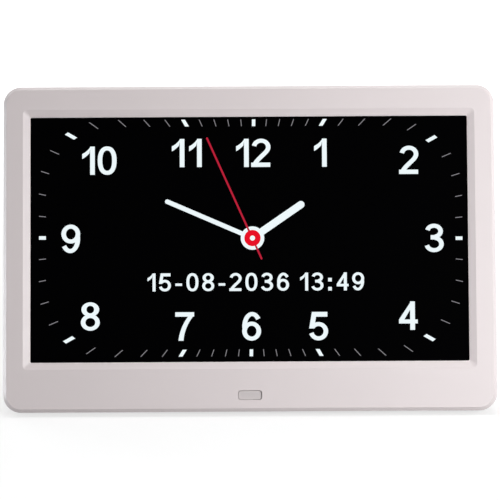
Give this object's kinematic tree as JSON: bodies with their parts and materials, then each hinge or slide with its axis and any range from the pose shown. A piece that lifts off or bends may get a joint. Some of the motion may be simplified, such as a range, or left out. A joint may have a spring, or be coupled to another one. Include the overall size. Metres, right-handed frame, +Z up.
{
  "type": "digital reminder clock",
  "caption": "Desk clock with a wide lit screen in a bevelled white frame that leans back on a folding rear leg.",
  "frame": {"origin": "on the table under the middle of the clock's width and depth, with its leg out", "axes": "+X to the right of the screen, -Y towards the viewer, +Z up"},
  "size_m": [0.25, 0.0748, 0.1601],
  "materials": {
    "bezel_plastic": "fine satin moulded plastic, pinkish white",
    "cover_plastic": "fine spark-textured moulded plastic",
    "leg_plastic": "satin moulded plastic",
    "key_plastic": "satin moulded plastic",
    "switch_plastic": "black moulded plastic",
    "screen_glass": "black anti-glare glass over a lit screen",
    "panel_steel": "pressed zinc-coated sheet",
    "screw_steel": "zinc-plated",
    "optical_plastic": "clear and milky sheet",
    "circuit_board": "green solder resist",
    "chip_black": "moulded epoxy",
    "capacitor_can": "plain can",
    "cell_steel": "plain steel",
    "inlet_brass": "nickel-free turned pin",
    "window_smoke": "translucent grey window",
    "foot_rubber": "matt rubber",
    "foam_black": "closed-cell foam",
    "speaker_steel": "pressed steel",
    "speaker_paper": "black paper cone",
    "lead_jacket": "soft jacket",
    "ribbon_film": "white flat cable"
  },
  "bodies": {
    "housing": {"front_bezel": "bezel_plastic", "rear_cover": "cover_plastic", "tact_switches": "switch_plastic", "coin_cell_holder": "switch_plastic", "dc_jack": "switch_plastic", "lcd_glass": "screen_glass", "lcd_frame": "panel_steel", "backlight_tray": "panel_steel", "panel_clips": "panel_steel", "housing_screws": "screw_steel", "panel_clip_screws": "screw_steel", "ir_board_screws": "screw_steel", "board_screws": "screw_steel", "key_board_screws": "screw_steel", "speaker_screws": "screw_steel", "stand_hinge_pin": "screw_steel", "diffuser_sheet": "optical_plastic", "light_guide": "optical_plastic", "reflector_sheet": "optical_plastic", "main_board": "circuit_board", "key_board": "circuit_board", "ir_board": "circuit_board", "panel_driver_board": "circuit_board", "led_strip": "circuit_board", "board_chips": "chip_black", "ir_receiver": "chip_black", "board_capacitors": "capacitor_can", "coin_cell": "cell_steel", "dc_jack_pin": "inlet_brass", "ir_window": "window_smoke", "bottom_pads": "foot_rubber", "panel_gasket": "foam_black", "speaker_gasket": "foam_black", "speaker_basket": "speaker_steel", "speaker_magnet": "speaker_steel", "speaker_cone": "speaker_paper", "speaker_lead": "lead_jacket", "ir_lead": "lead_jacket", "panel_ribbon": "ribbon_film", "key_ribbon": "ribbon_film"},
    "stand": {"stand_leg": "leg_plastic", "stand_foot": "foot_rubber"},
    "power_key": {"power_button": "key_plastic", "power_plunger": "switch_plastic"},
    "menu_key": {"menu_button": "key_plastic", "menu_plunger": "switch_plastic"},
    "down_key": {"down_button": "key_plastic", "down_plunger": "switch_plastic"},
    "up_key": {"up_button": "key_plastic", "up_plunger": "switch_plastic"},
    "back_key": {"back_button": "key_plastic", "back_plunger": "switch_plastic"},
    "ok_key": {"ok_button": "key_plastic", "ok_plunger": "switch_plastic"}
  },
  "joints": [
    {"name": "stand_hinge", "type": "hinge", "parent": "housing", "child": "stand", "pos_m": [0, 0.01866, 0.11568], "axis": [1, 0, 0], "range_deg": [-25.97, 0]},
    {"name": "power_press", "type": "slide", "parent": "housing", "child": "power_key", "axis": [0, -0.9511, 0.309], "range_m": [0, 0.0005], "stiffness_N_per_m": 3000},
    {"name": "menu_press", "type": "slide", "parent": "housing", "child": "menu_key", "axis": [0, -0.9511, 0.309], "range_m": [0, 0.0005], "stiffness_N_per_m": 3000},
    {"name": "down_press", "type": "slide", "parent": "housing", "child": "down_key", "axis": [0, -0.9511, 0.309], "range_m": [0, 0.0005], "stiffness_N_per_m": 3000},
    {"name": "up_press", "type": "slide", "parent": "housing", "child": "up_key", "axis": [0, -0.9511, 0.309], "range_m": [0, 0.0005], "stiffness_N_per_m": 3000},
    {"name": "back_press", "type": "slide", "parent": "housing", "child": "back_key", "axis": [0, -0.9511, 0.309], "range_m": [0, 0.0005], "stiffness_N_per_m": 3000},
    {"name": "ok_press", "type": "slide", "parent": "housing", "child": "ok_key", "axis": [0, -0.9511, 0.309], "range_m": [0, 0.0005], "stiffness_N_per_m": 3000}
  ]
}
